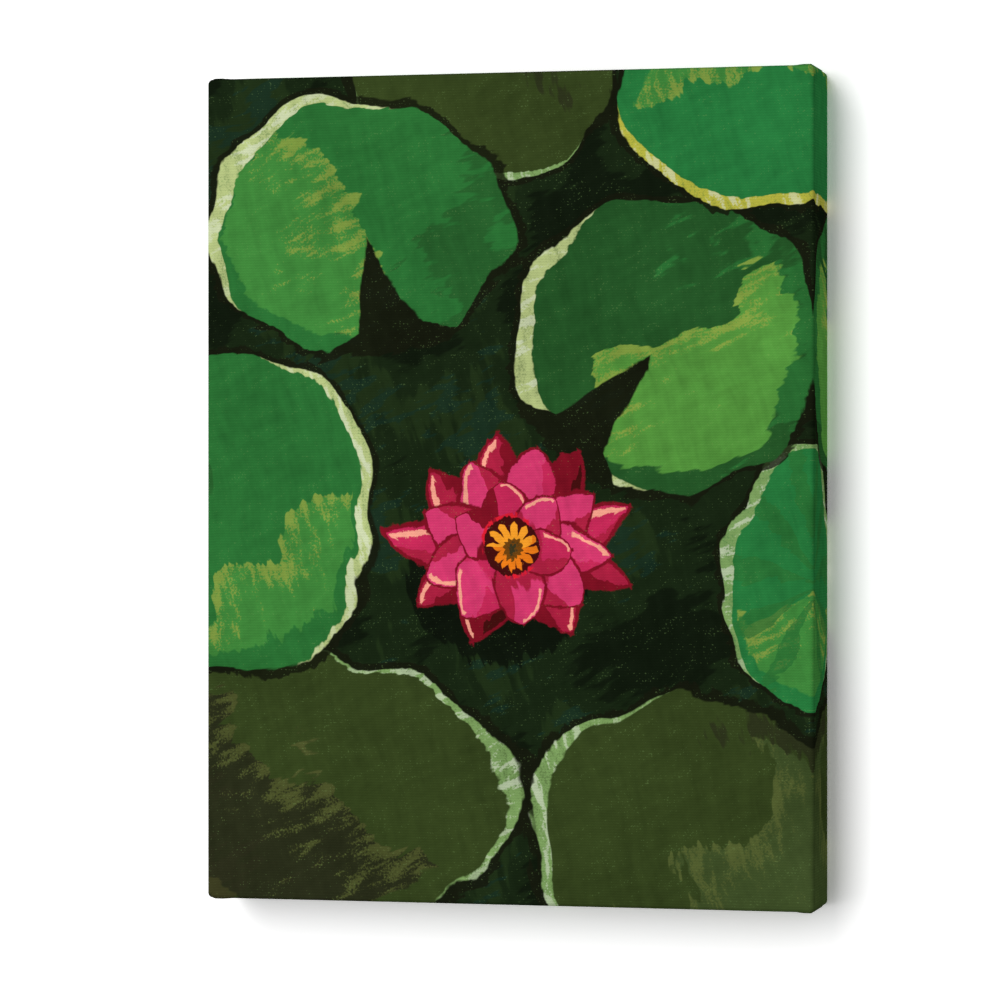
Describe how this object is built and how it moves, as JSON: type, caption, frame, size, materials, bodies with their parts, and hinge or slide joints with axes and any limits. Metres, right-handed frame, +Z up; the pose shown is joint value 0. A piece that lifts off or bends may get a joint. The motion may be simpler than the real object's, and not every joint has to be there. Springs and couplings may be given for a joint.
{
  "type": "stretched canvas print",
  "caption": "Wall picture: printed cloth wrapped round a deep keyed pine stretcher frame and stapled at the back, with a sawtooth hanger and rubber bumpers.",
  "frame": {"origin": "where the wall's nail bears in the middle notch of the sawtooth hanger, in the plane of the wall", "axes": "+Z up, +X to the right of someone facing the picture, +Y into the wall, so the picture faces -Y"},
  "size_m": [0.3048, 0.0429, 0.4064],
  "materials": {
    "printed_canvas": "matt coated cotton canvas with a printed pond picture, bare cloth at the back",
    "pine_bar": "planed bare pine",
    "pine_key": "sawn bare pine",
    "zinc_staple": "zinc-coated flat wire",
    "brassed_steel": "brass-plated pressed steel",
    "black_rubber": "moulded matt rubber"
  },
  "bodies": {
    "root": {"printed_canvas": "printed_canvas", "bottom_bar": "pine_bar", "right_bar": "pine_bar", "top_bar": "pine_bar", "left_bar": "pine_bar", "bottom_left_key_in_bottom_bar": "pine_key", "bottom_right_key_in_bottom_bar": "pine_key", "bottom_right_key_in_right_bar": "pine_key", "top_right_key_in_right_bar": "pine_key", "top_right_key_in_top_bar": "pine_key", "top_left_key_in_top_bar": "pine_key", "top_left_key_in_left_bar": "pine_key", "bottom_left_key_in_left_bar": "pine_key", "staple_01": "zinc_staple", "staple_02": "zinc_staple", "staple_03": "zinc_staple", "staple_04": "zinc_staple", "staple_05": "zinc_staple", "staple_06": "zinc_staple", "staple_07": "zinc_staple", "staple_08": "zinc_staple", "staple_09": "zinc_staple", "staple_10": "zinc_staple", "staple_11": "zinc_staple", "staple_12": "zinc_staple", "staple_13": "zinc_staple", "staple_14": "zinc_staple", "staple_15": "zinc_staple", "staple_16": "zinc_staple", "staple_17": "zinc_staple", "staple_18": "zinc_staple", "staple_19": "zinc_staple", "staple_20": "zinc_staple", "staple_21": "zinc_staple", "staple_22": "zinc_staple", "staple_23": "zinc_staple", "staple_24": "zinc_staple", "staple_25": "zinc_staple", "staple_26": "zinc_staple", "staple_27": "zinc_staple", "staple_28": "zinc_staple", "staple_29": "zinc_staple", "staple_30": "zinc_staple", "staple_31": "zinc_staple", "staple_32": "zinc_staple", "sawtooth_hanger": "brassed_steel", "hanger_nail_left": "brassed_steel", "hanger_nail_right": "brassed_steel", "bumper_left": "black_rubber", "bumper_right": "black_rubber"}
  },
  "joints": []
}
